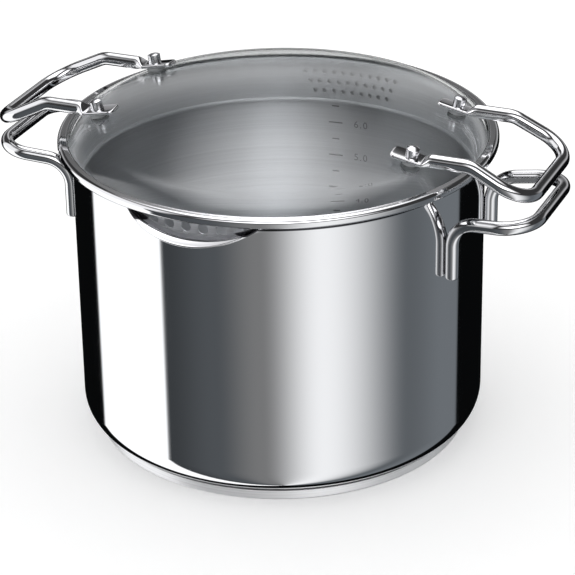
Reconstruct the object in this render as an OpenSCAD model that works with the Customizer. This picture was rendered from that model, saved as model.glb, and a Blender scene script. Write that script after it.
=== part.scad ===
/* [Pot] */
// Inside diameter of the pot
inner_d = 240; // [200:1:280]
// Thickness of the pot's steel sheet
wall_t = 1; // [0.8:0.1:1.4]
// Height of the rim above the table
rim_h = 180.7; // [165:0.1:210]
// Outside radius of the corner between floor and wall
corner_r = 16; // [12:1:24]
// How far the rim flares out past the wall
flare_r = 5; // [4:0.1:7]

/* [Base] */
// Height of the heat-spreading base under the vessel
base_h = 6; // [4:0.1:9]
// How far the base cap stays inside the pot's wall
base_inset = 9.5; // [6:0.5:14]
// Thickness of the steel cap
cap_t = 0.6; // [0.4:0.1:1]
// Radius of the cap's lower edge
cap_edge_r = 1.6; // [1:0.1:2.4]

/* [Spout] */
// How far the lip reaches out past the wall
spout_reach = 15.5; // [12:0.5:20]
// How far the lip drops below the rim
spout_drop = 10.5; // [8:0.5:14]
// Width of the spout along the rim
spout_w = 82; // [60:1:100]
// Bend between the wall and the lip, measured on the outside
spout_bend_r = 4; // [3:0.5:6]

/* [Strainer ring] */
// Thickness of the ring's sheet
ring_t = 0.8; // [0.6:0.1:1.2]
// Height of the ring below the flange it hangs from
ring_drop = 26.5; // [22:0.5:36]
// Clearance between the ring and the pot's wall
ring_gap = 1.4; // [0.8:0.1:2.5]
// Outside bend between the ring and its flange
ring_bend_r = 3.2; // [2:0.1:4]
// Radius of the rolled hem at the ring's lower edge
hem_r = 1.2; // [1:0.1:1.6]
// Diameter of the coarse holes behind the spout
coarse_d = 6.3; // [5:0.1:7]
// Angle between coarse holes
coarse_step = 5.05; // [4:0.05:6]
// Coarse holes in the longest row
coarse_count = 8; // [4:1:10]
// Diameter of the fine holes opposite
fine_d = 2.8; // [2:0.1:3.5]
// Angle between fine holes
fine_step = 2.93; // [2.5:0.01:4]
// Fine holes in the longest row
fine_count = 11; // [7:1:15]

/* [Lid] */
// Thickness of the glass
glass_t = 4; // [3:0.1:5]
// Thickness of the glass's ground edge
glass_edge_t = 3; // [2.5:0.1:4]
// Height of the dome above the glass's flat edge
dome_h = 21.6; // [18:0.1:26]
// Radius of the dome's crown
dome_r = 475; // [420:1:560]
// Radius with which the dome turns down to its edge
dome_edge_r = 28; // [24:1:40]
// Gap between the foot of the dome and the band
dome_gap = 0.1; // [0.1:0.1:1]
// Thickness of the band's sheet
band_t = 0.6; // [0.4:0.1:0.8]
// How far the band laps over the glass
band_lap = 2.8; // [2:0.1:4]
// Outside radius of the band's rounded shoulder
band_r = 2.4; // [1.8:0.1:2.8]
// Outside radius of the band's curl under the strainer ring's flange
curl_r = 1.2; // [0.9:0.1:1.4]

/* [Handles] */
// Diameter of the handle rod
rod_d = 8; // [6:0.5:10]
// Distance between the two feet of a pot handle
foot_span = 68; // [56:1:80]
// How far the lower end of the feet lies below the rim
foot_drop = 55.9; // [46:0.1:75]
// How far a pot handle's arms lie below the rim where they leave the wall
arm_drop = 21.2; // [16:0.1:30]
// How far a pot handle's grip lies below the rim
grip_drop = 16.3; // [12:0.1:24]
// How far a pot handle's grip stands out from the pot's wall
grip_reach = 46.2; // [36:0.1:58]
// Length of a pot handle's grip between the arms
grip_span = 82; // [70:1:96]
// Bend of a pot handle at the feet
foot_bend_r = 16; // [10:1:18]
// Bend of every handle beside its grip
grip_bend_r = 18; // [12:1:24]
// How far a lid handle's grip stands out from the pot's wall
lid_grip_reach = 44.6; // [36:0.1:56]
// How far a lid handle's grip lies above the pot handle's grip
lid_grip_rise = 16.3; // [12:0.1:22]
// How far outside the pot's wall a lid handle turns down
lid_knee_reach = 10.8; // [6:0.1:16]
// Bend of a lid handle where it turns down
lid_knee_r = 14; // [8:1:20]
// Distance between the two arms of a lid handle at the bolts
bolt_span = 77.6; // [68:0.1:90]
// Distance from the strainer ring to the bolts
bolt_inset = 14.3; // [12:0.1:20]
// Width of a lid handle's flattened end
flat_w = 12; // [10:0.5:14]
// Thickness of a lid handle's flattened end
flat_t = 2.4; // [2:0.1:3.6]
// Length of the flattened end past the bolt
flat_tip = 12.3; // [9:0.1:15]
// Gap between the glass and the flattened end at the bolt
flat_lift = 1.9; // [1.2:0.1:4]
// How far the rod rises over the flattened end
arm_step = 1; // [0:0.1:2]

/* [Fasteners] */
// Diameter of the bolt's shank
bolt_d = 5; // [4:0.1:6]
// Diameter of the cap nut
nut_d = 7.5; // [7:0.1:10]
// Height of the cap nut
nut_h = 6; // [4.5:0.1:8]
// Diameter of the bolt's head
head_d = 9; // [8:0.1:11]
// Height of the bolt's head
head_h = 2.8; // [2:0.1:4]
// Diameter of the soft spacers and washers
washer_d = 11; // [10:0.1:13]
// Thickness of the steel washer
washer_t = 1; // [0.6:0.1:1.6]
// Thickness of the soft washer under the glass
pad_t = 1; // [0.5:0.1:2]
// Hole in the glass for one bolt
glass_hole_d = 7.6; // [7.4:0.1:9]

/* [Hidden] */
$fn = 180;
// Clearance that lets the lid turn and lift on the rim
running_gap = 0.3;
// Clearance of a bolt in the holes that it passes
bolt_gap = 0.1;
// Clearance between the edge of the strainer ring's flange and the band's curl
flange_gap = 0.1;
// Clearances of the soft spacer above and the soft washer below, where the glass curves away
rest_gap = 0.05;
pad_gap = 0.15;
// Hairline that the welds fill between a pot handle's feet and the wall
weld_gap = 0.05;
// Small overlap that keeps cuts clean, and a smaller one where two arcs run into each other
eps = 0.2;
seam = 0.002;
// Hairline between a rod's straight legs and its bends, which a core of the rod crosses
hair = 0.01;
core_reach = 0.6;
// Height above the rim that the cuts for the pot's inside and the spout reach
headroom = 60;

inner_r = inner_d / 2;
outer_r = inner_r + wall_t;
// The rim is a quarter bend outwards that ends in a rounded edge
rim_bead_r = wall_t / 2 + 0.15;
rim_bend_r = flare_r - rim_bead_r;
rim_c = [outer_r + rim_bend_r, rim_h - rim_bend_r - wall_t / 2 - rim_bead_r];
rim_edge_r = outer_r + flare_r;

// The lip of the spout lies in one tilted plane that leaves the rim at the ends of the spout
lip_y = outer_r + spout_reach;
lip_z = rim_h - spout_drop;
leave_y = sqrt(pow(rim_edge_r, 2) - pow(spout_w / 2, 2));
lip_run = lip_y - leave_y;
lip_tilt = atan2(spout_drop, lip_run);
lip_chord = norm([lip_run, spout_drop]);
lip_r = (pow(spout_w / 2, 2) + pow(lip_chord, 2)) / (2 * lip_chord);
lip_c = [0, -lip_y + lip_r * cos(lip_tilt), lip_z + lip_r * sin(lip_tilt)];
// The bend under the lip sinks a little into the wall so that the two blend
bend_y = outer_r + spout_bend_r - 0.2;
bend_run = lip_y - bend_y;

base_r = outer_r - base_inset;
floor_z = base_h + wall_t;

flange_z = rim_h + running_gap;
ring_r = inner_r - ring_gap;
ring_low = flange_z - ring_drop;
glass_z = flange_z + ring_t;
glass_top = glass_z + glass_edge_t;
band_in_r = rim_edge_r - 2.4;
glass_r = band_in_r + band_lap;
band_out_r = glass_r + band_r + 0.2;
dome_foot_r = band_in_r - dome_gap;
dome_c = glass_top + dome_h - dome_r;
// The dome's edge is an arc that touches the crown and passes through the foot of the dome
foot_d = norm([dome_foot_r, glass_top - dome_c]);
foot_way = [dome_foot_r, glass_top - dome_c] / foot_d;
edge_d = dome_r - dome_edge_r;
edge_along = (pow(edge_d, 2) - pow(dome_edge_r, 2) + pow(foot_d, 2)) / (2 * foot_d);
edge_aside = sqrt(pow(edge_d, 2) - pow(edge_along, 2));
dome_edge_c = [edge_along * foot_way[0] - edge_aside * foot_way[1],
    dome_c + edge_along * foot_way[1] + edge_aside * foot_way[0]];

rod_r = rod_d / 2;
core_r = rod_r - 1;
foot_y = foot_span / 2;
foot_r = outer_r + rod_r + weld_gap;
foot_x = sqrt(pow(foot_r, 2) - pow(foot_y, 2));
foot_z = rim_h - foot_drop;
arm_z = rim_h - arm_drop;
grip_z = rim_h - grip_drop;
grip_x = outer_r + grip_reach;
lid_grip_x = outer_r + lid_grip_reach;
lid_grip_z = grip_z + lid_grip_rise;
lid_knee_x = outer_r + lid_knee_reach;

bolt_y = bolt_span / 2;
bolt_r = ring_r - bolt_inset;
bolt_x = sqrt(pow(bolt_r, 2) - pow(bolt_y, 2));
bolt_turn = atan2(bolt_y, bolt_x);
glass_slope = asin(bolt_r / dome_r);
glass_at_bolt = dome_c + dome_r * cos(glass_slope);
// Heights above the glass, square to it
flat_mid = flat_lift + flat_t / 2;
flat_high = flat_lift + flat_t;
pad_low = -glass_t - pad_t;
// Length of the flattened end from the bolt towards the rod
flat_run = 7;
rod_start = [bolt_x + flat_run + 5, bolt_y, on_glass_point([flat_run, 0, flat_mid])[2] + arm_step];

// Place of the point p, which is measured from the bolt, along and square to the glass
function on_glass_point(p) =
    let (
        out = p[0] * cos(bolt_turn) + p[1] * sin(bolt_turn),
        along = p[1] * cos(bolt_turn) - p[0] * sin(bolt_turn),
        reach = out * cos(glass_slope) + p[2] * sin(glass_slope)
    )
    [bolt_x + reach * cos(bolt_turn) - along * sin(bolt_turn),
        bolt_y + reach * sin(bolt_turn) + along * cos(bolt_turn),
        glass_at_bolt + p[2] * cos(glass_slope) - out * sin(glass_slope)];

function unit(v) = v / norm(v);
// Turn from one leg of a rod to the next, in degrees
function turn(a, b, c) = acos(max(-1, min(1, unit(b - a) * unit(c - b))));
// Length that a bend of radius r takes from each leg
function cut(a, b, c, r) = r * tan(turn(a, b, c) / 2);

// Straight rod from a to b
module rod(a, b, r) {
    d = b - a;
    translate(a)
        rotate([0, acos(d[2] / norm(d)), atan2(d[1], d[0])])
            cylinder(r = r, h = norm(d), $fn = 48);
}

// A rod bent through the points, with a bend of radius bends[i] at point i
module bent_rod(points, bends, r) {
    n = len(points);
    cuts = [for (i = [0:n - 1])
        i == 0 || i == n - 1 ? 0 : cut(points[i - 1], points[i], points[i + 1], bends[i])];
    for (i = [0:n - 2]) {
        leg = unit(points[i + 1] - points[i]);
        first = i == 0 ? -core_reach : core_reach;
        last = i == n - 2 ? -core_reach : core_reach;
        rod(points[i] + leg * (cuts[i] + hair), points[i + 1] - leg * (cuts[i + 1] + hair), r);
        rod(points[i] + leg * (cuts[i] - first), points[i + 1] - leg * (cuts[i + 1] - last), core_r);
    }
    for (i = [1:n - 2]) {
        u = unit(points[i] - points[i - 1]);
        v = unit(points[i + 1] - points[i]);
        w = unit(cross(u, v));
        side = cross(w, u);
        start = points[i] - u * cuts[i];
        centre = start + side * bends[i];
        // Columns are the bend's own x, y and z axes
        multmatrix([[-side[0], u[0], -w[0], centre[0]], [-side[1], u[1], -w[1], centre[1]],
            [-side[2], u[2], -w[2], centre[2]], [0, 0, 0, 1]])
            rotate_extrude(angle = turn(points[i - 1], points[i], points[i + 1]), $fn = 96)
                translate([bends[i], 0]) circle(r = r, $fn = 48);
    }
}

// Half outline of the vessel, grown to the outside or the inside of its sheet
module vessel_outline(r, z, corner, bend, end, top) {
    translate([0, z + corner]) square([r, rim_c[1] - z - corner]);
    translate([0, z]) square([r - corner, corner + eps]);
    intersection() {
        translate([r - corner, z + corner]) circle(r = corner);
        translate([r - corner - eps, z]) square([corner + eps, corner]);
    }
    difference() {
        translate([0, rim_c[1]]) square([end, top - rim_c[1]]);
        translate(rim_c) circle(r = bend, $fn = 96);
    }
}

// Stands the children's outline on the spout's tilted axis, with the lip's plane at zero
module on_lip_axis() {
    translate(lip_c) rotate([lip_tilt, 0, 0]) rotate_extrude() children();
}

// Points on a circle from angle a to angle b
function arc(c, r, a, b, n) = [for (i = [0:n]) c + r * [cos(a + (b - a) * i / n), sin(a + (b - a) * i / n)]];

// Outline of the spout's sheet from below (sheet = its thickness), or of the room above it (sheet = 0)
module spout_outline(sheet, reach, top) {
    bend = spout_bend_r + wall_t - sheet;
    in = [-cos(lip_tilt), -sin(lip_tilt)];
    down = [sin(lip_tilt), -cos(lip_tilt)];
    lip = [lip_r, 0];
    c = lip + in * bend_run + down * (spout_bend_r + wall_t);
    low = c + in * bend + down * 6;
    polygon(concat(
        [[0, top], [lip[0] - in[0] * reach - down[0] * eps, top], lip - in * reach + down * sheet],
        arc(c, bend, 90 + lip_tilt, 180 + lip_tilt, 9),
        [low, [0, low[1]]]));
}

// Room that the spout opens in the vessel
module spout_room() {
    on_lip_axis() spout_outline(0, 3, headroom);
}

module pot_shell() {
    color("gainsboro") {
        difference() {
            union() {
                rotate_extrude() vessel_outline(outer_r, base_h, corner_r, rim_bend_r, rim_c[0], rim_h);
                on_lip_axis() spout_outline(wall_t, 0, 0.8);
            }
            rotate_extrude()
                vessel_outline(inner_r, floor_z, corner_r - wall_t, rim_bend_r + wall_t, rim_edge_r + 1,
                    rim_h + headroom);
            spout_room();
        }
        // Rolled edge of the rim
        difference() {
            translate([0, 0, rim_h - rim_bead_r])
                rotate_extrude() translate([rim_c[0], 0]) circle(r = rim_bead_r, $fn = 24);
            spout_room();
        }
    }
}

module base_core() {
    color("silver")
    translate([0, 0, cap_t]) cylinder(r = base_r - cap_t, h = base_h - cap_t);
}

// Half outline of a pressed cup with a rounded lower edge
module cup_outline(r, z, edge, top) {
    translate([0, z + edge]) square([r, top - z - edge]);
    translate([0, z]) square([r - edge, edge + eps]);
    intersection() {
        translate([r - edge, z + edge]) circle(r = edge, $fn = 48);
        translate([r - edge - eps, z]) square([edge + eps, edge]);
    }
}

module base_cap() {
    color("lightgray")
    difference() {
        rotate_extrude() cup_outline(base_r, 0, cap_edge_r, base_h);
        translate([0, 0, cap_t]) cylinder(r = base_r - cap_t, h = base_h);
    }
}

module pot_handle() {
    color("whitesmoke")
    bent_rod([
        [-foot_x, -foot_y, foot_z],
        [-foot_x, -foot_y, arm_z],
        [-grip_x, -grip_span / 2, grip_z],
        [-grip_x, grip_span / 2, grip_z],
        [-foot_x, foot_y, arm_z],
        [-foot_x, foot_y, foot_z]],
        [0, foot_bend_r, grip_bend_r, grip_bend_r, foot_bend_r, 0], rod_r);
}

module pot_handle_left() {
    pot_handle();
}

module pot_handle_right() {
    mirror([1, 0, 0]) pot_handle();
}

// Row of holes through the ring, centred on the angle at
module hole_row(count, step, d, z, at) {
    for (i = [0:count - 1])
        rotate([0, 0, at + (i - (count - 1) / 2) * step])
            translate([ring_r - 4, 0, z]) rotate([0, 90, 0]) cylinder(d = d, h = 8, $fn = 24);
}

module strainer_ring() {
    color("silver")
    difference() {
        union() {
            // Flange that the band holds against the glass
            translate([0, 0, flange_z])
                rotate_extrude() translate([ring_r + ring_bend_r, 0])
                    square([band_out_r - curl_r - flange_gap - ring_r - ring_bend_r, ring_t]);
            // Bend from the flange down into the pot
            translate([0, 0, flange_z - ring_bend_r])
                rotate_extrude() translate([ring_r + ring_bend_r, 0])
                    intersection() {
                        difference() {
                            circle(r = ring_bend_r + ring_t, $fn = 64);
                            circle(r = ring_bend_r, $fn = 64);
                        }
                        translate([-2 * ring_bend_r, 0]) square(2 * ring_bend_r);
                    }
            // Perforated wall
            translate([0, 0, ring_low + hem_r])
                rotate_extrude() translate([ring_r - ring_t, 0])
                    square([ring_t, ring_drop - hem_r - ring_bend_r]);
            // Rolled hem
            translate([0, 0, ring_low + hem_r])
                rotate_extrude() translate([ring_r - hem_r, 0]) circle(r = hem_r, $fn = 32);
        }
        hole_row(coarse_count, coarse_step, coarse_d, ring_low + 18.7, -90);
        hole_row(coarse_count - 1, coarse_step, coarse_d, ring_low + 9.8, -90);
        for (row = [0:2])
            hole_row(fine_count - row, fine_step, fine_d, ring_low + 20.1 - 6.15 * row, 90);
    }
}

module lid_band() {
    color("gainsboro")
    rotate_extrude() {
        shoulder = [band_out_r - band_r, glass_top + band_t - band_r];
        foot = [band_out_r - curl_r, flange_z - band_t + curl_r];
        // Lap over the glass
        translate([band_in_r, glass_top]) square([shoulder[0] - band_in_r, band_t]);
        // Rounded shoulder
        translate(shoulder)
            intersection() {
                difference() {
                    circle(r = band_r, $fn = 64);
                    circle(r = band_r - band_t, $fn = 64);
                }
                square(band_r);
            }
        // Outer wall
        translate([band_out_r - band_t, foot[1]]) square([band_t, shoulder[1] - foot[1]]);
        // Curl under the flange of the strainer ring
        translate(foot)
            intersection() {
                difference() {
                    circle(r = curl_r, $fn = 48);
                    circle(r = curl_r - band_t, $fn = 48);
                }
                translate([0, -curl_r]) square(curl_r);
            }
        translate([foot[0] - 1.4, flange_z - band_t]) square([1.4, band_t]);
    }
}

// Stands its children on the glass at the bolt at +x and +y, with z square to the glass
module on_glass() {
    translate([bolt_x, bolt_y, glass_at_bolt])
        rotate([0, 0, bolt_turn]) rotate([0, glass_slope, 0]) rotate([0, 0, -bolt_turn])
            children();
}

// Repeats its children at all four bolts
module at_bolts() {
    for (x = [0, 1], y = [0, 1])
        mirror([x, 0, 0]) mirror([0, y, 0]) on_glass() children();
}

// Half outline of the room under the dome's upper face (inset 0) or under its lower face (inset glass_t)
module dome_outline(inset, low) {
    top = dome_h + glass_edge_t + 10;
    touch = dome_edge_c[0] * (dome_r - inset) / edge_d;
    intersection() {
        translate([0, dome_c]) circle(r = dome_r - inset, $fn = 720);
        translate([0, low]) square([touch, top]);
    }
    intersection() {
        translate(dome_edge_c) circle(r = dome_edge_r - inset + seam, $fn = 96);
        translate([dome_edge_c[0], low]) square([dome_edge_r + 1, top]);
    }
}

module lid_glass() {
    color([0.8, 0.85, 0.85, 0.4])
    difference() {
        rotate_extrude() {
            difference() {
                union() {
                    dome_outline(0, glass_top - eps);
                    translate([0, glass_z]) square([glass_r, glass_edge_t]);
                }
                dome_outline(glass_t, glass_z - 1);
            }
        }
        at_bolts() translate([0, 0, -glass_t - 3]) cylinder(d = glass_hole_d, h = glass_t + 6, $fn = 48);
    }
}

// Flattened and drilled end of a lid handle's arm, lying along the glass at the bolt
module flat_end() {
    edge = flat_t / 2;
    half = flat_w / 2 - edge;
    tip = flat_w / 2 - flat_tip;
    difference() {
        union() {
            on_glass() {
                for (y = [-half, half])
                    translate([tip, y, flat_mid]) rotate([0, 90, 0])
                        cylinder(r = edge, h = flat_run - tip, $fn = 48);
                translate([tip, -half, flat_lift]) cube([flat_run - tip, 2 * half, flat_t]);
                translate([tip, 0, flat_mid]) rotate([0, 0, 90])
                    rotate_extrude(angle = 180, $fn = 96) {
                        translate([half, 0]) circle(r = edge, $fn = 48);
                        translate([0, -edge]) square([half, 2 * edge]);
                    }
            }
            // Shoulder where the round rod was pressed flat, and the core that runs through it
            hull() {
                on_glass()
                    for (y = [-half, half])
                        translate([flat_run + hair, y, flat_mid]) rotate([0, 90, 0])
                            cylinder(r = edge, h = 0.1, $fn = 32);
                translate(rod_start - [0.1 + hair, 0, 0]) rotate([0, 90, 0])
                    cylinder(r = rod_r, h = 0.1, $fn = 32);
            }
            rod(on_glass_point([flat_run - 1, 0, flat_mid]), rod_start + [1, 0, 0], edge - 0.4);
        }
        on_glass() translate([0, 0, flat_lift - 1])
            cylinder(d = bolt_d + 2 * bolt_gap, h = flat_t + 2, $fn = 48);
    }
}

module lid_handle() {
    color("whitesmoke") {
        for (y = [0, 1])
            mirror([0, y, 0]) flat_end();
        bent_rod([
            [rod_start[0], -bolt_y, rod_start[2]],
            [lid_knee_x, -bolt_y, rod_start[2]],
            [lid_grip_x, -grip_span / 2, lid_grip_z],
            [lid_grip_x, grip_span / 2, lid_grip_z],
            [lid_knee_x, bolt_y, rod_start[2]],
            [rod_start[0], bolt_y, rod_start[2]]],
            [0, lid_knee_r, grip_bend_r, grip_bend_r, lid_knee_r, 0], rod_r);
    }
}

module lid_handle_left() {
    mirror([1, 0, 0]) lid_handle();
}

module lid_handle_right() {
    lid_handle();
}

module glass_spacers() {
    color("dimgray")
    at_bolts()
        difference() {
            union() {
                translate([0, 0, rest_gap]) cylinder(d = washer_d, h = flat_lift - rest_gap, $fn = 64);
                // Sleeve that centres the spacer in the hole
                translate([0, 0, 0.4 - glass_t])
                    cylinder(d = glass_hole_d - 2 * bolt_gap, h = glass_t, $fn = 48);
            }
            translate([0, 0, -glass_t]) cylinder(d = bolt_d + 2 * bolt_gap, h = 20, $fn = 48);
        }
}

module glass_washers() {
    color("dimgray")
    at_bolts()
        difference() {
            translate([0, 0, pad_low]) cylinder(d = washer_d, h = pad_t - pad_gap, $fn = 64);
            translate([0, 0, pad_low - 1]) cylinder(d = bolt_d + 2 * bolt_gap, h = pad_t + 2, $fn = 48);
        }
}

module bolt_washers() {
    color("silver")
    at_bolts() translate([0, 0, pad_low - washer_t])
        difference() {
            cylinder(d = washer_d - 1, h = washer_t, $fn = 64);
            translate([0, 0, -1]) cylinder(d = bolt_d + 2 * bolt_gap, h = washer_t + 2, $fn = 48);
        }
}

module lid_bolts() {
    color("silver")
    at_bolts() {
        translate([0, 0, pad_low - washer_t])
            cylinder(d = bolt_d, h = flat_high + nut_h - 2 - pad_low + washer_t, $fn = 48);
        intersection() {
            translate([0, 0, pad_low - washer_t - head_h]) cylinder(d = head_d, h = head_h, $fn = 48);
            translate([0, 0, pad_low - washer_t - head_h + head_d]) sphere(r = head_d, $fn = 96);
        }
    }
}

module cap_nuts() {
    color("gainsboro")
    at_bolts()
        difference() {
            intersection() {
                translate([0, 0, flat_high]) cylinder(d = nut_d, h = nut_h, $fn = 48);
                translate([0, 0, flat_high + nut_h - nut_d]) sphere(r = nut_d, $fn = 96);
            }
            translate([0, 0, flat_high - 1]) cylinder(d = bolt_d + bolt_gap, h = nut_h - 0.5, $fn = 48);
        }
}

pot_shell();
base_core();
base_cap();
pot_handle_left();
pot_handle_right();
strainer_ring();
lid_band();
lid_glass();
lid_handle_left();
lid_handle_right();
glass_spacers();
glass_washers();
bolt_washers();
lid_bolts();
cap_nuts();
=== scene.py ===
"""Straining pot of polished steel with a glass lid. A perforated ring under the lid holds the food back."""

import bpy
import numpy as np
from mathutils import Matrix


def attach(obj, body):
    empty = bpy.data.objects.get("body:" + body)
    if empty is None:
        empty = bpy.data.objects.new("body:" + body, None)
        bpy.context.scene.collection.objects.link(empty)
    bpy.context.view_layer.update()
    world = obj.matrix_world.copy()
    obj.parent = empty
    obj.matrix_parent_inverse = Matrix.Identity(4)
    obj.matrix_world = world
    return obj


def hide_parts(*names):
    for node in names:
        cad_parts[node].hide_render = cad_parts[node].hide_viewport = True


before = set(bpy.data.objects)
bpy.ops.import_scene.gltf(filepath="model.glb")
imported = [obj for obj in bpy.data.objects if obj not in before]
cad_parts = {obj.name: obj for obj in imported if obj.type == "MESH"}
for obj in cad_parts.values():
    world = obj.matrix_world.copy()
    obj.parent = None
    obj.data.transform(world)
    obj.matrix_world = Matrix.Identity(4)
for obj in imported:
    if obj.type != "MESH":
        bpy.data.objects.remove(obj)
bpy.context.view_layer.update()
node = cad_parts
mm = 0.001

# ---------------------------------------------------------------- Camera
# The camera stands 1.57 m from the pot, looks 26 degrees down and leans about one degree.
camera = bpy.data.objects.new("camera", bpy.data.cameras.new("camera"))
bpy.context.scene.collection.objects.link(camera)
camera.data.lens = 158.93
camera.data.sensor_width = 36
camera.data.clip_end = 30
side_turn, look_down, lean = np.radians([23.2, 26.36, -0.94])
stand = (0.00389, -1.37051, 0.76079)
camera.matrix_world = (
    Matrix.Rotation(side_turn, 4, "Z")
    @ Matrix.Translation(stand)
    @ Matrix.Rotation(np.pi / 2 - look_down, 4, "X")
    @ Matrix.Rotation(lean, 4, "Z")
)
bpy.context.scene.camera = camera

# ---------------------------------------------------------------- Vessel
# The vessel is drawn from one sheet of stainless steel, 24 cm wide inside. Its rim flares out over a
# quarter bend, and the spout is pressed down and out of that rim. It is mirror polished outside and
# satin inside, where the wall was brushed while it turned.
inner_r, sheet, rim_top = 120 * mm, 1 * mm, 180.7 * mm
outer_r = inner_r + sheet
underside, corner_r, rim_bend = 6 * mm, 16 * mm, 4.3 * mm
lip_plane_r, lip_tilt = 51.34 * mm, np.radians(31.06)
lip_reach, lip_height = 136.5 * mm, 170.2 * mm
rim_width, spout_depth = 5 * mm, 10.5 * mm
lip_drawn_in, lip_drawn_down, lip_fall = 2.4 * mm, 1.1 * mm, 3.4 * mm
blend_out, blend_up = 1 * mm, 1.6 * mm
# Painted shade: between these heights the polish in the bend under the rim is painted nearly black, as the
# shade in the gap under the lid's band
rim_gap_shade = (175.6 * mm, 179.5 * mm)
# An outline starts and ends this far from the axis, and a fan of faces closes it there
near_axis = 0.02 * mm


def skin(name, grid, closed=(True, False), poles=True, slots=None):
    """Mesh of the points grid[i, j], with i round the piece and j along its outline.

    closed says which of the two directions joins up. poles closes the first and the last row with a fan
    round its mean point. slots gives the material of each row of faces. The faces are turned outwards by
    the sign of the volume that they enclose.
    """
    across, along = grid.shape[:2]
    points = grid.reshape(-1, 3)
    i = np.arange(across if closed[0] else across - 1)[:, None]
    j = np.arange(along if closed[1] else along - 1)[None, :]
    i2, j2 = (i + 1) % across, (j + 1) % along
    quads = np.stack([i * along + j, i2 * along + j, i2 * along + j2, i * along + j2], -1)
    row = np.broadcast_to(j, quads.shape[:2]).reshape(-1)
    faces, rows = quads.reshape(-1, 4).tolist(), row.tolist()
    if poles:
        ring = np.arange(across)
        after = (ring + 1) % across
        for end, flip in ((0, False), (along - 1, True)):
            middle = len(points)
            points = np.vstack([points, grid[:, end].mean(0)])
            fan = np.stack([ring * along + end, np.full(across, middle), after * along + end], -1)
            faces += (fan[:, ::-1] if flip else fan).tolist()
            rows += [min(end, along - 2)] * across
    mesh = bpy.data.meshes.new(name)
    mesh.from_pydata(points, [], faces)
    if slots is not None:
        mesh.polygons.foreach_set("material_index", np.asarray(slots)[rows].astype(np.int32))
    mesh.polygons.foreach_set("use_smooth", np.ones(len(faces), bool))
    mesh.calc_loop_triangles()
    corners = np.zeros(len(mesh.loop_triangles) * 3, np.int32)
    mesh.loop_triangles.foreach_get("vertices", corners)
    a, b, c = points[corners.reshape(-1, 3)].transpose(1, 0, 2)
    if np.einsum("ij,ij->i", a, np.cross(b, c)).sum() < 0:
        mesh.flip_normals()
    mesh.update()
    piece = bpy.data.objects.new(name, mesh)
    bpy.context.scene.collection.objects.link(piece)
    return piece


def bow(centre, radius, start, stop, steps):
    """Points on an arc in the (r, z) plane, from angle start to angle stop in degrees."""
    turn = np.radians(np.linspace(start, stop, steps))
    return np.stack([centre[0] + radius * np.cos(turn), centre[1] + radius * np.sin(turn)], -1)


def straight(a, b, close=0.15 * mm):
    """Points between a and b, close to each end and in the middle, so that shading stays flat between."""
    a, b = np.asarray(a), np.asarray(b)
    share = min(0.3, close / np.linalg.norm(b - a))
    return a + (b - a) * np.array([share, 0.5, 1 - share])[:, None]


def turned(outline, steps):
    """The outline's (r, z) points swept round the Z axis, as a grid."""
    angle = np.linspace(0, 2 * np.pi, steps, endpoint=False)[:, None]
    r, z = outline[None, :, 0], outline[None, :, 1]
    z = np.broadcast_to(z, (steps, len(outline)))
    return np.stack([r * np.sin(angle), -r * np.cos(angle), z], -1)


def soft_least(a, b, rounding):
    """The lower of a and b, with the corner where they cross rounded over the length rounding.

    It is b + (a - b) h - rounding h (1 - h), where h goes from 0 to 1 as b rises past a.
    """
    h = np.clip(0.5 + (b - a) / (2 * rounding), 0, 1)
    return b + (a - b) * h - rounding * h * (1 - h)


around = np.linspace(-np.pi, np.pi, 720, endpoint=False)
# The lip is a circle in a tilted plane. Its distance and height are read off by direction round the pot.
on_lip = np.linspace(-np.pi / 2, np.pi / 2, 2001)
lip_x = lip_plane_r * np.sin(on_lip)
lip_y = lip_reach - lip_plane_r * (1 - np.cos(on_lip)) * np.cos(lip_tilt)
lip_z = lip_height + lip_plane_r * (1 - np.cos(on_lip)) * np.sin(lip_tilt)
lip_turn = np.arctan2(lip_x, lip_y)
off_spout = np.abs(around) > lip_turn[-1]
edge_r = np.where(off_spout, 0, np.interp(around, lip_turn, np.hypot(lip_x, lip_y)))
edge_z = np.where(off_spout, 1, np.interp(around, lip_turn, lip_z))
edge_r = -soft_least(-edge_r, np.full_like(around, -outer_r - rim_width), blend_out) - sheet / 2
edge_z = soft_least(edge_z, np.full_like(around, rim_top), blend_up) - sheet
# Along the spout the sheet curves down towards the lip, and elsewhere the rim is flat to its edge
spout = np.clip((rim_top - sheet - edge_z) / spout_depth, 0, 1)
edge_r -= lip_drawn_in * spout
edge_z -= lip_drawn_down * spout
crest_z = edge_z + lip_fall * spout
bend_z = crest_z - rim_bend

rows, kinds = [], []


def lay(points, kind):
    """Adds outline points to the vessel. points holds (r, z) pairs of numbers or of values round the pot."""
    for r, z in points:
        rows.append(np.stack([np.sin(around) * r, -np.cos(around) * r, z + 0 * around], -1))
        kinds.append(kind)


polish, satin = 0, 1
wall_rows = (0.002, 0.3, 0.6, 0.9, 0.997)
lay([(near_axis, underside)], polish)
lay(straight((0, underside), (outer_r - corner_r, underside)), polish)
lay(bow((outer_r - corner_r, underside + corner_r), corner_r, -90, 0, 14), polish)
for share in wall_rows:
    lay([(outer_r, underside + corner_r + share * (bend_z - underside - corner_r))], polish)
for r, z in bow((0, 0), rim_bend, 180, 90, 10):
    lay([(outer_r + rim_bend + r, bend_z + z)], polish)
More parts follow.
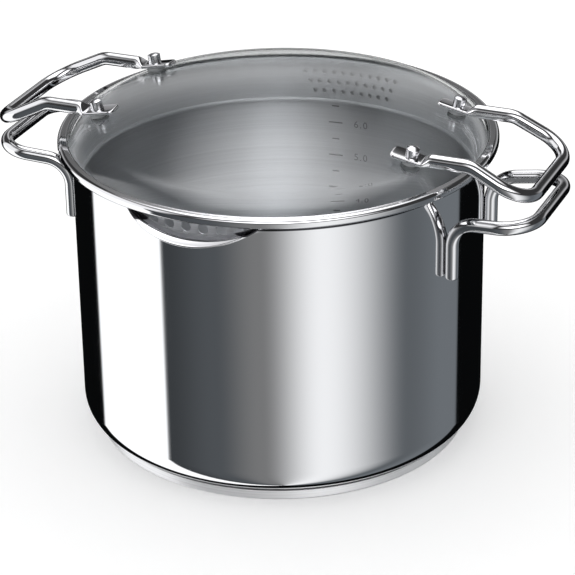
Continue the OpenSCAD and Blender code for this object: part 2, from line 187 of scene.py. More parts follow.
# Between bend and edge the rim falls as the 1.8th power of the way out
flange = [
    (outer_r + rim_bend + share * (edge_r - outer_r - rim_bend), crest_z + (edge_z - crest_z) * share**1.8)
    for share in (0.06, 0.2, 0.35, 0.5, 0.65, 0.8, 0.94)
]
lay(flange, polish)
for r, z in bow((0, sheet / 2), sheet / 2, -90, 90, 9):
    lay([(edge_r + r, edge_z + z)], polish)
lay([(r, z + sheet) for r, z in flange[::-1]], polish)
for r, z in bow((0, 0), rim_bend + sheet, 90, 180, 11):
    lay([(outer_r + rim_bend + r, bend_z + z)], polish)
kinds[-1] = satin
floor_top = underside + sheet
for share in wall_rows[::-1]:
    lay([(inner_r, floor_top + corner_r - sheet + share * (bend_z - floor_top - corner_r + sheet))], satin)
lay(bow((outer_r - corner_r, underside + corner_r), corner_r - sheet, 0, -90, 14), satin)
lay(straight((outer_r - corner_r, floor_top), (0, floor_top)), satin)
lay([(near_axis, floor_top)], satin)
vessel = skin("vessel", np.stack(rows, 1), slots=kinds[:-1])


def material(name, **values):
    """A material whose Principled shader has these values.

    Returns the material, its nodes, the function that links them and the shader.
    """
    made = bpy.data.materials.new(name)
    made.use_nodes = True
    nodes, link = made.node_tree.nodes, made.node_tree.links.new
    shader = nodes["Principled BSDF"]
    for key, value in values.items():
        shader.inputs[key.replace("_", " ")].default_value = value
    return made, nodes, link, shader


def group_of(name, sockets):
    """A new shader node group with number inputs (name: start value) and the outputs named in sockets."""
    made = bpy.data.node_groups.new(name, "ShaderNodeTree")
    for label, value in sockets["in"].items():
        made.interface.new_socket(label, in_out="INPUT", socket_type="NodeSocketFloat").default_value = value
    for label in sockets["out"]:
        made.interface.new_socket(label, in_out="OUTPUT", socket_type="NodeSocketFloat")
    taken, given = made.nodes.new("NodeGroupInput"), made.nodes.new("NodeGroupOutput")
    return made, made.nodes, made.links.new, taken, given


def maths(nodes, link, kind, a, b=None):
    """A Math node of one kind. a and b are sockets or numbers."""
    made = nodes.new("ShaderNodeMath")
    made.operation = kind
    for slot, value in zip(made.inputs, (a, b)):
        if isinstance(value, bpy.types.NodeSocket):
            link(value, slot)
        elif value is not None:
            slot.default_value = value
    return made.outputs[0]


# Brushing goes round the axis, so its lines are long along the turn and fine across it. r + z tells the
# lines apart on the wall, in the corner and on the floor alike.
turned_brushing, g, glink, gin, gout = group_of(
    "turned_brushing", {"in": {"Length": 25.0, "Fineness": 2200.0}, "out": ["Lines", "Cloud"]}
)
place = g.new("ShaderNodeTexCoord").outputs["Object"]
apart = g.new("ShaderNodeSeparateXYZ")
glink(place, apart.inputs[0])
flat = g.new("ShaderNodeCombineXYZ")
glink(apart.outputs[0], flat.inputs[0])
glink(apart.outputs[1], flat.inputs[1])
radius = g.new("ShaderNodeVectorMath")
radius.operation = "LENGTH"
glink(flat.outputs[0], radius.inputs[0])
across_lines = maths(g, glink, "ADD", radius.outputs["Value"], apart.outputs[2])
stretched = g.new("ShaderNodeCombineXYZ")
glink(maths(g, glink, "MULTIPLY", apart.outputs[0], gin.outputs["Length"]), stretched.inputs[0])
glink(maths(g, glink, "MULTIPLY", apart.outputs[1], gin.outputs["Length"]), stretched.inputs[1])
glink(maths(g, glink, "MULTIPLY", across_lines, gin.outputs["Fineness"]), stretched.inputs[2])
lines = g.new("ShaderNodeTexNoise")
lines.inputs["Scale"].default_value = 1
lines.inputs["Detail"].default_value = 3
glink(stretched.outputs[0], lines.inputs["Vector"])
glink(lines.outputs["Fac"], gout.inputs["Lines"])
cloud = g.new("ShaderNodeTexNoise")
cloud.inputs["Scale"].default_value = 14
cloud.inputs["Detail"].default_value = 2
glink(place, cloud.inputs["Vector"])
glink(cloud.outputs["Fac"], gout.inputs["Cloud"])


def use_group(nodes, group, **values):
    """Places a node group in a material, with its own values."""
    made = nodes.new("ShaderNodeGroup")
    made.node_tree = group
    for key, value in values.items():
        made.inputs[key].default_value = value
    return made


def ranged(nodes, link, value, low, high, out_low, out_high):
    """Maps value from low..high to out_low..out_high."""
    made = nodes.new("ShaderNodeMapRange")
    link(value, made.inputs["Value"])
    for key, number in zip(("From Min", "From Max", "To Min", "To Max"), (low, high, out_low, out_high)):
        made.inputs[key].default_value = number
    return made.outputs[0]


def polished_steel(name, colour, rough=(0.035, 0.075), lines=0.012, painted_shade=None):
    """Mirror-polished stainless steel. The buffing leaves faint lines and cloudy patches in its gloss.

    Where two heights are given, the base colour between them is painted nearly black: a painted shade, not a
    colour of the steel.
    """
    made, nodes, link, shader = material(name, Metallic=1.0, Base_Color=(*colour, 1))
    buffing = use_group(nodes, turned_brushing, Length=18.0, Fineness=900.0)
    link(ranged(nodes, link, buffing.outputs["Cloud"], 0.3, 0.7, *rough), shader.inputs["Roughness"])
    bump = nodes.new("ShaderNodeBump")
    bump.inputs["Strength"].default_value = lines
    bump.inputs["Distance"].default_value = 0.02 * mm
    link(buffing.outputs["Lines"], bump.inputs["Height"])
    link(bump.outputs[0], shader.inputs["Normal"])
    # Painted shade: the base colour turns nearly black between the two heights
    if painted_shade:
        place = nodes.new("ShaderNodeSeparateXYZ")
        link(nodes.new("ShaderNodeTexCoord").outputs["Object"], place.inputs[0])
        low, high = painted_shade
        in_painted_shade = maths(nodes, link, "MULTIPLY",
                       ranged(nodes, link, place.outputs[2], low, low + 0.3 * mm, 0, 1),
                       ranged(nodes, link, place.outputs[2], high, high - 0.3 * mm, 0, 1))
        tint = nodes.new("ShaderNodeMix")
        tint.data_type = "RGBA"
        tint.inputs["A"].default_value = (*colour, 1)
        tint.inputs["B"].default_value = (0.05, 0.05, 0.055, 1)
        link(in_painted_shade, tint.inputs["Factor"])
        link(tint.outputs["Result"], shader.inputs["Base Color"])
    return made


def satin_steel(name, colour, rough=(0.36, 0.44), lines=0.1, spread=1.0, scatter=0.0):
    """Stainless steel brushed while it turned.

    spread is how far its highlights stretch across the brushing lines, and scatter the share of the light
    that a fine satin scatters evenly.
    """
    made, nodes, link, shader = material(
        name, Metallic=1.0 - scatter, Anisotropic=spread, Anisotropic_Rotation=0.25
    )
    brushing = use_group(nodes, turned_brushing, Length=3.0, Fineness=1500.0)
    tint = nodes.new("ShaderNodeMix")
    tint.data_type = "RGBA"
    tint.inputs["A"].default_value = (*[0.88 * c for c in colour], 1)
    tint.inputs["B"].default_value = (*colour, 1)
    link(ranged(nodes, link, brushing.outputs["Lines"], 0.3, 0.7, 0, 1), tint.inputs["Factor"])
    link(tint.outputs["Result"], shader.inputs["Base Color"])
    link(ranged(nodes, link, brushing.outputs["Lines"], 0.3, 0.7, *rough), shader.inputs["Roughness"])
    bump = nodes.new("ShaderNodeBump")
    bump.inputs["Strength"].default_value = lines
    bump.inputs["Distance"].default_value = 0.03 * mm
    link(brushing.outputs["Lines"], bump.inputs["Height"])
    link(bump.outputs[0], shader.inputs["Normal"])
    turn_way = nodes.new("ShaderNodeTangent")
    turn_way.direction_type = "RADIAL"
    turn_way.axis = "Z"
    link(turn_way.outputs[0], shader.inputs["Tangent"])
    return made


# The polish outside carries a painted shade, a dark line in the bend under the rim
vessel.data.materials.append(polished_steel("vessel_polish", (0.8, 0.8, 0.81), painted_shade=rim_gap_shade))
vessel.data.materials.append(satin_steel("vessel_satin", (0.83, 0.84, 0.865)))
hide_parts("pot_shell")
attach(vessel, "pot")

# ---------------------------------------------------------------- Base
# A disc of aluminium spreads the heat. A pressed steel cap closes it underneath, and its edge shows as
# a light step below the dark groove under the vessel's corner.
cap_r, cap_edge, cap_sheet = 111.5 * mm, 1.6 * mm, 0.6 * mm
cap_outline = np.vstack([
    [(near_axis, 0)],
    straight((0, 0), (cap_r - cap_edge, 0)),
    bow((cap_r - cap_edge, cap_edge), cap_edge, -90, 0, 10),
    straight((cap_r, cap_edge), (cap_r, underside - 0.5 * mm)),
    bow((cap_r - 0.4 * mm, underside - 0.4 * mm), 0.4 * mm, 0, 90, 6),
    [(cap_r - cap_sheet, underside - 0.1 * mm)],
    [(cap_r - cap_sheet, cap_sheet)],
    [(near_axis, cap_sheet)],
])
base_cap = skin("base_cap_pressing", turned(cap_outline, 360))
base_cap.data.materials.append(
    satin_steel("cap_satin", (0.93, 0.93, 0.94), rough=(0.3, 0.4), spread=0.5, scatter=0.55)
)
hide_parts("base_cap")
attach(base_cap, "pot")


def dress(name, metal):
    """Gives a node that stays as it is a new material in place of its plain one."""
    node[name].data.materials.clear()
    node[name].data.materials.append(metal)


core_metal, nodes, link, shader = material("core_aluminium", Metallic=1.0, Base_Color=(0.78, 0.78, 0.79, 1))
sawn = use_group(nodes, turned_brushing, Length=30.0, Fineness=700.0)
link(ranged(nodes, link, sawn.outputs["Lines"], 0.3, 0.7, 0.35, 0.5), shader.inputs["Roughness"])
dress("base_core", core_metal)

# ---------------------------------------------------------------- Litre marks
# Half-litre lines are etched dark into the wall inside, opposite the spout, with faint litre numbers beside
# them. The heights are those at which the vessel holds that much.
mark_turn = np.radians(180 + 5.7)
litre_line, half_line, line_high, etch_deep = 9 * mm, 4.5 * mm, 0.72 * mm, 0.05 * mm
number_size, number_aside = 6.4 * mm, 12 * mm


def etched(name, dark, light):
    """Matt etched steel, specked between two greys."""
    made, nodes, link, shader = material(name, Metallic=0.6, Roughness=0.55)
    speck = nodes.new("ShaderNodeTexNoise")
    speck.inputs["Scale"].default_value = 2500
    tone = nodes.new("ShaderNodeValToRGB")
    tone.color_ramp.elements[0].color = (dark, dark, dark * 1.1, 1)
    tone.color_ramp.elements[1].color = (light, light, light * 1.1, 1)
    link(nodes.new("ShaderNodeTexCoord").outputs["Object"], speck.inputs["Vector"])
    link(speck.outputs["Fac"], tone.inputs["Fac"])
    link(tone.outputs["Color"], shader.inputs["Base Color"])
    return made


def litre_height(litres):
    """Height of the surface of that many litres.

    It is the floor's height plus (volume + what the rounded corner lacks) / area, in metres. Outside its
    quarter circle a corner of radius c has the area (1 - pi / 4) c^2, whose middle is 0.223 c off the wall.
    """
    c = corner_r - sheet
    corner_lacks = 2 * np.pi * (inner_r - 0.223 * c) * (1 - np.pi / 4) * c**2
    return floor_top + (litres * 1e-3 + corner_lacks) / (np.pi * inner_r**2)


def onto_wall(points, centre_x, centre_z):
    """Lays flat points on the inside of the wall opposite the spout: x to the right, y up, z off the wall."""
    r = inner_r - 0.02 * mm - points[:, 2]
    turn = mark_turn - (points[:, 0] + centre_x) / inner_r
    return np.stack([r * np.sin(turn), -r * np.cos(turn), centre_z + points[:, 1]], -1)


mark_points, mark_faces = [], []
for half in range(2, 14):
    wide = half_line if half % 2 else litre_line
    x = np.linspace(-wide / 2, wide / 2, 9)
    ring = np.array([(-0.5, 0), (0.5, 0), (0.5, 1), (-0.5, 1)]) * (line_high, etch_deep)
    bar = np.stack([
        np.repeat(x, 4),
        np.tile(ring[:, 0], 9),
        np.tile(ring[:, 1], 9),
    ], -1)
    first = sum(len(p) for p in mark_points)
    mark_points.append(onto_wall(bar, 0, litre_height(half / 2)))
    slice_of, side = first + 4 * np.arange(8)[:, None], np.arange(4)
    a, b = slice_of + side, slice_of + (side + 1) % 4
    mark_faces += np.stack([a, b, b + 4, a + 4], -1).reshape(-1, 4).tolist()
    mark_faces += [(first + 3, first + 2, first + 1, first), tuple(first + 32 + k for k in range(4))]
line_faces = len(mark_faces)
for litres in range(1, 7):
    lettering = bpy.data.curves.new("number", "FONT")
    lettering.body = f"{litres}.0"
    lettering.size = number_size
    lettering.extrude = etch_deep / 2
    lettering.align_y = "CENTER"
    lettering.space_character = 1.25
    drawn = bpy.data.objects.new("number", lettering)
    bpy.context.scene.collection.objects.link(drawn)
    mesh = bpy.data.meshes.new_from_object(drawn.evaluated_get(bpy.context.evaluated_depsgraph_get()))
    flat_points = np.zeros(len(mesh.vertices) * 3)
    mesh.vertices.foreach_get("co", flat_points)
    first = sum(len(p) for p in mark_points)
    flat_points = flat_points.reshape(-1, 3) + (0, 0, etch_deep / 2)
    mark_points.append(onto_wall(flat_points, number_aside, litre_height(litres)))
    mark_faces += [tuple(first + v for v in p.vertices) for p in mesh.polygons]
    bpy.data.objects.remove(drawn)
    bpy.data.meshes.remove(mesh)
mark_mesh = bpy.data.meshes.new("litre_marks")
mark_mesh.from_pydata(np.vstack(mark_points), [], mark_faces)
mark_mesh.materials.append(etched("etched_lines", 0.01, 0.04))
mark_mesh.materials.append(etched("etched_numbers", 0.1, 0.3))
is_number = np.arange(len(mark_faces)) >= line_faces
mark_mesh.polygons.foreach_set("material_index", is_number.astype(np.int32))
litre_marks = bpy.data.objects.new("litre_marks", mark_mesh)
bpy.context.scene.collection.objects.link(litre_marks)
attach(litre_marks, "pot")

# ---------------------------------------------------------------- Pot handles
# Each is one polished steel rod, 8 mm thick, bent four times. Its feet are welded to the wall, and its
# grip rises a little towards the grip of the lid's handle.
rod_r = 4 * mm


def bent_way(points, bends, step=1.2 * mm):
    """The middle line through points, with rounded bends of the radii in bends.

    A bend touches both legs at radius * tan(half the turn) from its corner. Legs have even steps, and
    bends have a point about every 4 degrees.
    """
    points = [np.asarray(p, float) for p in points]
    way = [points[0][None]]
    for a, b, c, r in zip(points, points[1:], points[2:], bends):
        u, v = (b - a) / np.linalg.norm(b - a), (c - b) / np.linalg.norm(c - b)
        turn = np.arccos(np.clip(u @ v, -1, 1))
        start = b - u * r * np.tan(turn / 2)
        inwards = (v - u * (u @ v)) / np.sin(turn)
        angle = np.linspace(0, turn, max(int(np.degrees(turn) / 4), 3))[:, None]
        bend = start + r * (np.sin(angle) * u + (1 - np.cos(angle)) * inwards)
        count = max(int(np.linalg.norm(start - way[-1][-1]) / step), 2)
        way.append(way[-1][-1] + (bend[0] - way[-1][-1]) * np.linspace(0, 1, count, endpoint=False)[1:, None])
        way.append(bend)
    count = max(int(np.linalg.norm(points[-1] - way[-1][-1]) / step), 2)
    way.append(way[-1][-1] + (points[-1] - way[-1][-1]) * np.linspace(0, 1, count)[1:, None])
    return np.vstack(way)


def rod(way, side, thick, wide, sides=40):
    """A bar swept along way. side is its width direction at the start, carried along without twist.

    thick is the radius of its edge and wide how far its two edges stand apart from the middle, so wide 0
    is a round rod and a larger one a pressed flat. Both are one number or one per point of the way.
    """
    ahead = np.gradient(way, axis=0)
    ahead /= np.linalg.norm(ahead, axis=1, keepdims=True)
    across = np.empty_like(way)
    across[0] = side
    for k in range(1, len(way)):
        across[k] = across[k - 1] - ahead[k] * (across[k - 1] @ ahead[k])
        across[k] /= np.linalg.norm(across[k])
    up = np.cross(ahead, across)
    angle = np.linspace(0, 2 * np.pi, sides, endpoint=False)
    c, s = np.cos(angle), np.sin(angle)
    thick, wide = (np.broadcast_to(v, len(way))[:, None] for v in (thick, wide))
    out = thick * c + wide * np.clip(3 * c, -1, 1)
    return way[:, None] + out[..., None] * across[:, None] + (thick * s)[..., None] * up[:, None]


def mirrored(half):
    """A bar that ends in the plane y = 0, joined to its mirror image on the plane's other side."""
    other = half[::-1][1:].copy()
    other[..., 1] *= -1
    return np.concatenate([half, other]).transpose(1, 0, 2)


def rounded_end(way, count=7, radius=1.2 * mm):
    """Adds points at the start of way, where a rod's edge is rounded, and gives the rod's radius at each."""
    lean_in = np.radians(np.linspace(0, 90, count))
    ahead = (way[1] - way[0]) / np.linalg.norm(way[1] - way[0])
    first = way[0] + ahead * (radius * (1 - np.cos(lean_in)))[:, None]
    beyond = way[np.einsum("ij,j->i", way - way[0], ahead) > radius * 1.1]
    size = np.concatenate([rod_r - radius + radius * np.sin(lean_in), np.full(len(beyond), rod_r)])
    return np.vstack([first, beyond]), size


foot_x, foot_y = np.sqrt((outer_r + rod_r + 0.05 * mm) ** 2 - (34 * mm) ** 2), 34 * mm
foot_way = bent_way(
    [(foot_x, -foot_y, 124.8 * mm), (foot_x, -foot_y, 159.5 * mm),
     (167.2 * mm, -41 * mm, 164.4 * mm), (167.2 * mm, 0, 164.4 * mm)],
    [16 * mm, 18 * mm],
)
foot_way, foot_size = rounded_end(foot_way)
handle_steel = polished_steel("handle_polish", (0.8, 0.8, 0.81), rough=(0.05, 0.1), lines=0.02)
pot_bar = mirrored(rod(foot_way, (0, 1, 0), foot_size, 0))
for name, sign in (("left", -1), ("right", 1)):
    bar = skin(f"pot_bar_{name}", pot_bar * (sign, 1, 1))
    bar.data.materials.append(handle_steel)
    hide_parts(f"pot_handle_{name}")
    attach(bar, "pot")

# ---------------------------------------------------------------- Strainer ring
# A ring of satin steel hangs from the lid. Coarse holes stand behind the spout and fine ones opposite.
# Its lower edge is rolled into a bright hem, and its flange is held in the lid's band.
dress("strainer_ring", satin_steel("ring_satin", (0.91, 0.92, 0.95), rough=(0.38, 0.46), scatter=0.38))

# ---------------------------------------------------------------- Lid glass
# Tempered glass, 4 mm thick, with a low crown that turns down steeply to a ground edge. Four holes are
# drilled square to its surface for the bolts of the handles.
glass_under, glass_t, edge_t = 181.8 * mm, 4 * mm, 3 * mm
crown_r, turn_down_r, dome_h = 475 * mm, 28 * mm, 21.6 * mm
glass_r, dome_foot = 126.4 * mm, 123.5 * mm
glass_top = glass_under + edge_t
crown_mid = np.array([0, glass_top + dome_h - crown_r])
# The turned-down edge touches the crown from inside and passes through the foot of the dome
to_foot = np.array([dome_foot, glass_top]) - crown_mid
far, apart_r = np.linalg.norm(to_foot), crown_r - turn_down_r
along_foot = (apart_r**2 - turn_down_r**2 + far**2) / (2 * far)
aside = np.sqrt(apart_r**2 - along_foot**2)
to_foot /= far
edge_mid = crown_mid + along_foot * to_foot + aside * np.array([-to_foot[1], to_foot[0]])
touch = np.degrees(np.arctan2(*(edge_mid - crown_mid)))
foot_lean = np.degrees(np.arctan2(*(np.array([dome_foot, glass_top]) - edge_mid)))
below_r = turn_down_r - glass_t
below_lean = np.degrees(np.arccos((glass_under - edge_mid[1]) / below_r))
below_foot = edge_mid[0] + below_r * np.sin(np.radians(below_lean))
grind_r = 1.4 * mm
# In degrees: how far from the axis the crown starts, and how far before and after the touch its rows stop
off_axis, before, after = 0.002, 0.05, 0.8
glass_outline = np.vstack([
    bow(crown_mid, crown_r, 90 - off_axis, 90 - touch + before, 36),
    bow(edge_mid, turn_down_r, 90 - touch - after, 90 - foot_lean, 20),
    straight((dome_foot, glass_top), (glass_r - grind_r, glass_top)),
    bow((glass_r - grind_r, glass_top - grind_r), grind_r, 90, 0, 8),
    bow((glass_r - grind_r, glass_under + grind_r), grind_r, 0, -90, 8),
    straight((glass_r - grind_r, glass_under), (below_foot, glass_under)),
    bow(edge_mid, below_r, 90 - below_lean, 90 - touch - after, 18),
    bow(crown_mid, crown_r - glass_t, 90 - touch + before, 90 - off_axis, 36),
])
pane = skin("lid_pane", turned(glass_outline, 240))
bolt_y = 38.8 * mm
bolt_far = 104.3 * mm
bolt_x = np.sqrt(bolt_far**2 - bolt_y**2)
bolt_turn, glass_lean = np.arctan2(bolt_y, bolt_x), np.arcsin(bolt_far / crown_r)


def on_glass(points, sign_x=1, sign_y=1):
    """Points measured from a bolt, with z square to the glass, brought to the bolt at sign_x and sign_y."""
    out = points[..., 0] * np.cos(bolt_turn) + points[..., 1] * np.sin(bolt_turn)
    along = points[..., 1] * np.cos(bolt_turn) - points[..., 0] * np.sin(bolt_turn)
    reach = out * np.cos(glass_lean) + points[..., 2] * np.sin(glass_lean)
    high = points[..., 2] * np.cos(glass_lean) - out * np.sin(glass_lean)
    return np.stack([
        sign_x * (bolt_x + reach * np.cos(bolt_turn) - along * np.sin(bolt_turn)),
        sign_y * (bolt_y + reach * np.sin(bolt_turn) + along * np.cos(bolt_turn)),
        crown_mid[1] + crown_r * np.cos(glass_lean) + high,
    ], -1)


drill_outline = np.array([(0.01, -9), (3.8, -9), (3.8, 5), (0.01, 5)]) * mm
corners = ((1, 1), (-1, 1), (1, -1), (-1, -1))
drills = [skin("drill", on_glass(turned(drill_outline, 48), *signs)) for signs in corners]
for drill in drills:
    cut = pane.modifiers.new("drill", "BOOLEAN")
    cut.operation, cut.solver, cut.object = "DIFFERENCE", "EXACT", drill
drilled = bpy.data.meshes.new_from_object(pane.evaluated_get(bpy.context.evaluated_depsgraph_get()))
pane.modifiers.clear()
pane.data = drilled
for drill in drills:
    bpy.data.objects.remove(drill)
clear, nodes, link, shader = material(
    "clear_glass", Base_Color=(0.97, 0.985, 0.98, 1), Roughness=0.0, IOR=1.5, Transmission_Weight=1.0
)
path = nodes.new("ShaderNodeLightPath")
through = nodes.new("ShaderNodeBsdfTransparent")
through.inputs[0].default_value = (0.95, 0.97, 0.96, 1)
choose = nodes.new("ShaderNodeMixShader")
link(path.outputs["Is Shadow Ray"], choose.inputs[0])
link(shader.outputs[0], choose.inputs[1])
link(through.outputs[0], choose.inputs[2])
link(choose.outputs[0], nodes["Material Output"].inputs["Surface"])
pane.data.materials.append(clear)
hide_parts("lid_glass")
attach(pane, "lid")

# ---------------------------------------------------------------- Lid band
# A strip of polished steel rolled round the edge of the glass. It laps over the glass above and grips the
# flange of the strainer ring below.
band_t, band_in, band_out, flange_z = 0.6 * mm, 123.6 * mm, 129.0 * mm, 181.0 * mm
shoulder_r, curl_r, lap_edge = 2.4 * mm, 1.2 * mm, 0.3 * mm
curl_lap, glass_gap = 1.1 * mm, 0.02 * mm
shoulder = (band_out - shoulder_r, glass_top + band_t - shoulder_r)
curl = (band_out - curl_r, flange_z - band_t + curl_r)
curl_end = curl[0] - curl_lap
band_outline = np.vstack([
    bow((band_in + lap_edge, glass_top + glass_gap + lap_edge), lap_edge, 270, 90, 7),
    straight((band_in + lap_edge, glass_top + band_t + glass_gap), (shoulder[0], glass_top + band_t)),
    bow(shoulder, shoulder_r, 90, 0, 14),
    straight((band_out, shoulder[1]), (band_out, curl[1])),
    bow(curl, curl_r, 0, -90, 10),
    straight((curl[0], flange_z - band_t), (curl_end, flange_z - band_t)),
    bow((curl_end, flange_z - band_t / 2), band_t / 2, -90, -270, 7),
    straight((curl_end, flange_z), (curl[0], flange_z)),
    bow(curl, curl_r - band_t, -90, 0, 6),
    straight((band_out - band_t, curl[1]), (band_out - band_t, shoulder[1])),
    bow(shoulder, shoulder_r - band_t, 0, 90, 10),
    straight((shoulder[0], glass_top + glass_gap), (band_in + lap_edge, glass_top + glass_gap)),
])
band = skin("lid_band_roll", turned(band_outline, 480), closed=(True, True), poles=False)
band.data.materials.append(polished_steel("band_polish", (0.8, 0.8, 0.81), rough=(0.04, 0.09)))
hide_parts("lid_band")
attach(band, "lid")

# ---------------------------------------------------------------- Lid handles
# Each is a polished rod with both ends pressed flat, drilled and bolted to the glass. It turns down
# outside the band, and its grip comes close to the grip of the pot's handle.
flat_lift, flat_t, flat_run, tip_run = 1.9 * mm, 2.4 * mm, 7 * mm, 12.3 * mm
flat_mid = flat_lift + flat_t / 2
flat_end, flat_tip = (on_glass(np.array([x, 0, flat_mid]), 1, -1) for x in (flat_run, -tip_run))
arm_z = flat_end[2] + 1 * mm
rod_from = np.array([bolt_x + flat_run + 5 * mm, -bolt_y, arm_z])
arm_way = bent_way(
    [flat_tip, flat_end, rod_from, (131.8 * mm, -bolt_y, arm_z),
     (165.6 * mm, -41 * mm, 180.7 * mm), (165.6 * mm, 0, 180.7 * mm)],
    [3 * mm, 3 * mm, 14 * mm, 18 * mm], step=0.8 * mm,
)
down_flat = (flat_end - flat_tip) / np.linalg.norm(flat_end - flat_tip)
into = (arm_way - flat_tip) @ down_flat
# plan is the flat's half width in plan, edge the half thickness of its rounded rim
half_w, corner, half_t = 6 * mm, 3.4 * mm, flat_t / 2
tip_step = half_w * (1 - np.cos(np.radians(np.linspace(3, 90, 16))))
arm_way = np.vstack([flat_tip + tip_step[:, None] * down_flat, arm_way[into > half_w + 0.4 * mm]])
into = (arm_way - flat_tip) @ down_flat
plan = half_w - corner + np.sqrt(corner**2 - (corner - np.clip(into, 0, corner)) ** 2)
edge = np.minimum(np.sqrt(half_t**2 - (half_t - np.clip(into, 0, half_t)) ** 2), plan)
pressed = np.clip((into - tip_run - flat_run) / (5 * mm), 0, 1)
pressed = pressed**2 * (3 - 2 * pressed)
thick = edge + (rod_r - edge) * pressed
wide = (plan - edge) * (1 - pressed)
level = on_glass(np.array([0, 1e-3, 0]), 1, -1) - on_glass(np.zeros(3), 1, -1)
lid_bar = mirrored(rod(arm_way, -level / np.linalg.norm(level), thick, wide))
for name, sign in (("left", -1), ("right", 1)):
    bar = skin(f"lid_bar_{name}", lid_bar * (sign, 1, 1))
    bar.data.materials.append(handle_steel)
    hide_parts(f"lid_handle_{name}")
    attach(bar, "lid")

# ---------------------------------------------------------------- Lid fasteners
# Bolts with round heads come up through soft washers, the glass, soft spacers and the flattened ends, and
# end in small cap nuts with bright sides and satin tops.
silicone, nodes, link, shader = material("grey_silicone", Roughness=0.55, Base_Color=(0.3, 0.31, 0.32, 1))
dust = nodes.new("ShaderNodeTexNoise")
dust.inputs["Scale"].default_value = 900
link(nodes.new("ShaderNodeTexCoord").outputs["Object"], dust.inputs["Vector"])
link(ranged(nodes, link, dust.outputs["Fac"], 0.3, 0.7, 0.45, 0.65), shader.inputs["Roughness"])
plain_steel = satin_steel("fastener_steel", (0.7, 0.7, 0.72), rough=(0.22, 0.35), lines=0.05, spread=0.0)
nut_steel = polished_steel("nut_polish", (0.78, 0.78, 0.8), rough=(0.1, 0.2))
for name, made in (
    ("glass_spacers", silicone),
    ("glass_washers", silicone),
    ("bolt_washers", plain_steel),
    ("lid_bolts", plain_steel),
    ("cap_nuts", nut_steel),
):
    dress(name, made)

# ---------------------------------------------------------------- Studio
# A white floor that keeps the pot's shadow, in a white room. The metal sees a studio of light panels with
# dark flags between them.
ground = bpy.data.meshes.new("floor")
ground.from_pydata([(-20, -20, 0), (20, -20, 0), (20, 20, 0), (-20, 20, 0)], [], [(0, 1, 2, 3)])
floor = bpy.data.objects.new("floor", ground)
bpy.context.scene.collection.objects.link(floor)
floor.visible_glossy = False
pale, nodes, link, shader = material(
    "pale_floor", Base_Color=(0.99, 0.99, 0.99, 1), Roughness=0.6, Specular_IOR_Level=0.0
)
shown = nodes.new("ShaderNodeLightPath")
direct = maths(nodes, link, "MAXIMUM", shown.outputs["Is Camera Ray"], shown.outputs["Is Transmission Ray"])
direct = maths(nodes, link, "MAXIMUM", direct, shown.outputs["Is Glossy Ray"])
shader.inputs["Emission Color"].default_value = (1, 1, 1, 1)
floor_glow = 0.12
link(maths(nodes, link, "MULTIPLY", direct, floor_glow), shader.inputs["Emission Strength"])
ground.materials.append(pale)

world = bpy.data.worlds.new("studio")
bpy.context.scene.world = world
world.use_nodes = True
nodes, link = world.node_tree.nodes, world.node_tree.links.new
way = nodes.new("ShaderNodeSeparateXYZ")
link(nodes.new("ShaderNodeTexCoord").outputs["Generated"], way.inputs[0])
# Bearings are measured round the pot from the camera's side, positive to the camera's right
front = side_turn - np.pi / 2
front_x, front_y = (float(v) for v in (np.cos(front), np.sin(front)))
turned_x = maths(nodes, link, "ADD", maths(nodes, link, "MULTIPLY", way.outputs[0], front_x),
                 maths(nodes, link, "MULTIPLY", way.outputs[1], front_y))
turned_y = maths(nodes, link, "SUBTRACT", maths(nodes, link, "MULTIPLY", way.outputs[1], front_x),
                 maths(nodes, link, "MULTIPLY", way.outputs[0], front_y))
bearing = maths(nodes, link, "ARCTAN2", turned_y, turned_x)
bands = nodes.new("ShaderNodeValToRGB")
link(ranged(nodes, link, bearing, -np.pi, np.pi, 0, 1), bands.inputs["Fac"])
# Bearing in degrees and brightness. The darker bands are a little cooler.
stops = [(-180, 0.003), (-127, 0.003), (-124.5, 1.3), (-70, 1.3), (-68.5, 0.055), (-38, 0.1), (-12, 0.22),
         (23, 1.08), (76, 0.14), (104, 0.19), (117.5, 0.19), (119.5, 0.003), (180, 0.003)]
ramp = bands.color_ramp
ramp.interpolation = "EASE"
for angle, value in stops[1:-1]:
    ramp.elements.new((angle + 180) / 360)
for element, (angle, value) in zip(ramp.elements, stops):
    element.position = (angle + 180) / 360
    cool = 0.09 if value < 0.2 else 0.01
    element.color = (value * (1 - cool), value, value * (1 + cool), 1)


def mixed(a, b, share):
    """Mixes two lights. a and b are sockets or brightnesses of a nearly white light."""
    made = nodes.new("ShaderNodeMix")
    made.data_type = "RGBA"
    link(share, made.inputs["Factor"])
    for key, value in (("A", a), ("B", b)):
        if isinstance(value, bpy.types.NodeSocket):
            link(value, made.inputs[key])
        else:
            made.inputs[key].default_value = (value, value, value * 1.02, 1)
    return made.outputs["Result"]


def fade(value, start, end):
    """0 where value is at start or before it, 1 from end on."""
    return ranged(nodes, link, value, start, end, 0, 1)


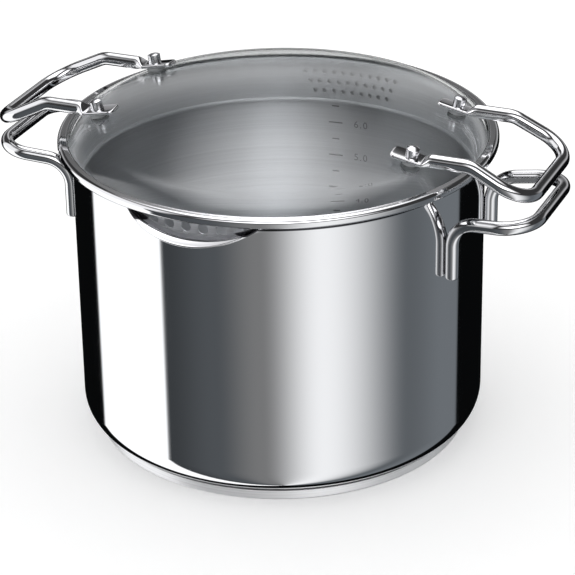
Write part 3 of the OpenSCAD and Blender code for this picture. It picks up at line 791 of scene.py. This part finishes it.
def all_of(*shares):
    """The product of the shares, so 1 only where each of them is 1."""
    product = shares[0]
    for share in shares[1:]:
        product = maths(nodes, link, "MULTIPLY", product, share)
    return product


# A light panel hangs over the pot, with a strip behind it, and a light wall stands low behind the pot. A
# soft light stands over the camera. The panel at the left reaches far up. The rest overhead is dark.
# sideways and to_camera are how far to the side and towards the camera a way leans, over how far it rises.
up = way.outputs[2]
height = maths(nodes, link, "MAXIMUM", up, 0.02)
sideways = maths(nodes, link, "DIVIDE", maths(nodes, link, "ABSOLUTE", turned_y), height)
to_camera = maths(nodes, link, "DIVIDE", turned_x, height)
off_middle = maths(nodes, link, "ABSOLUTE", maths(nodes, link, "SUBTRACT", bearing, 0.1))
low_wall = all_of(fade(turned_x, -0.2, -0.5), fade(up, 0.4, 0.22))
at_left = all_of(fade(bearing, -2.17, -2.1), fade(bearing, -0.95, -1.2), fade(up, 0.85, 0.65))
in_strip = all_of(fade(sideways, 0.34, 0.05), fade(to_camera, 0.0, -0.3), fade(to_camera, -2.6, -1.4))
in_panel = all_of(fade(sideways, 0.6, 0.2), fade(to_camera, 0.3, 0.05), fade(to_camera, -1.1, -0.8))
in_soft = all_of(fade(off_middle, 0.95, 0.1), fade(up, 0.36, 0.46), fade(up, 0.84, 0.72))
strip_light = mixed(1.0, 2.4, fade(to_camera, -1.6, -0.8))
# Each light is laid over the ones before it, and the first number is the dark between them
upper = 0.04
for light, share in (
    (0.5, low_wall), (1.1, at_left), (strip_light, in_strip), (2.4, in_panel), (3.2, in_soft)
):
    upper = mixed(upper, light, share)
above = mixed(bands.outputs["Color"], upper, fade(up, 0.04, 0.16))
seen = nodes.new("ShaderNodeLightPath")
mirrors = nodes.new("ShaderNodeMix")
mirrors.data_type = "RGBA"
link(seen.outputs["Is Glossy Ray"], mirrors.inputs["Factor"])
mirrors.inputs["A"].default_value = (1, 1, 1, 1)
link(above, mirrors.inputs["B"])
sky = nodes["Background"]
link(mirrors.outputs["Result"], sky.inputs["Color"])
sky.inputs["Strength"].default_value = 1.0

bpy.context.scene.view_settings.view_transform = "Standard"
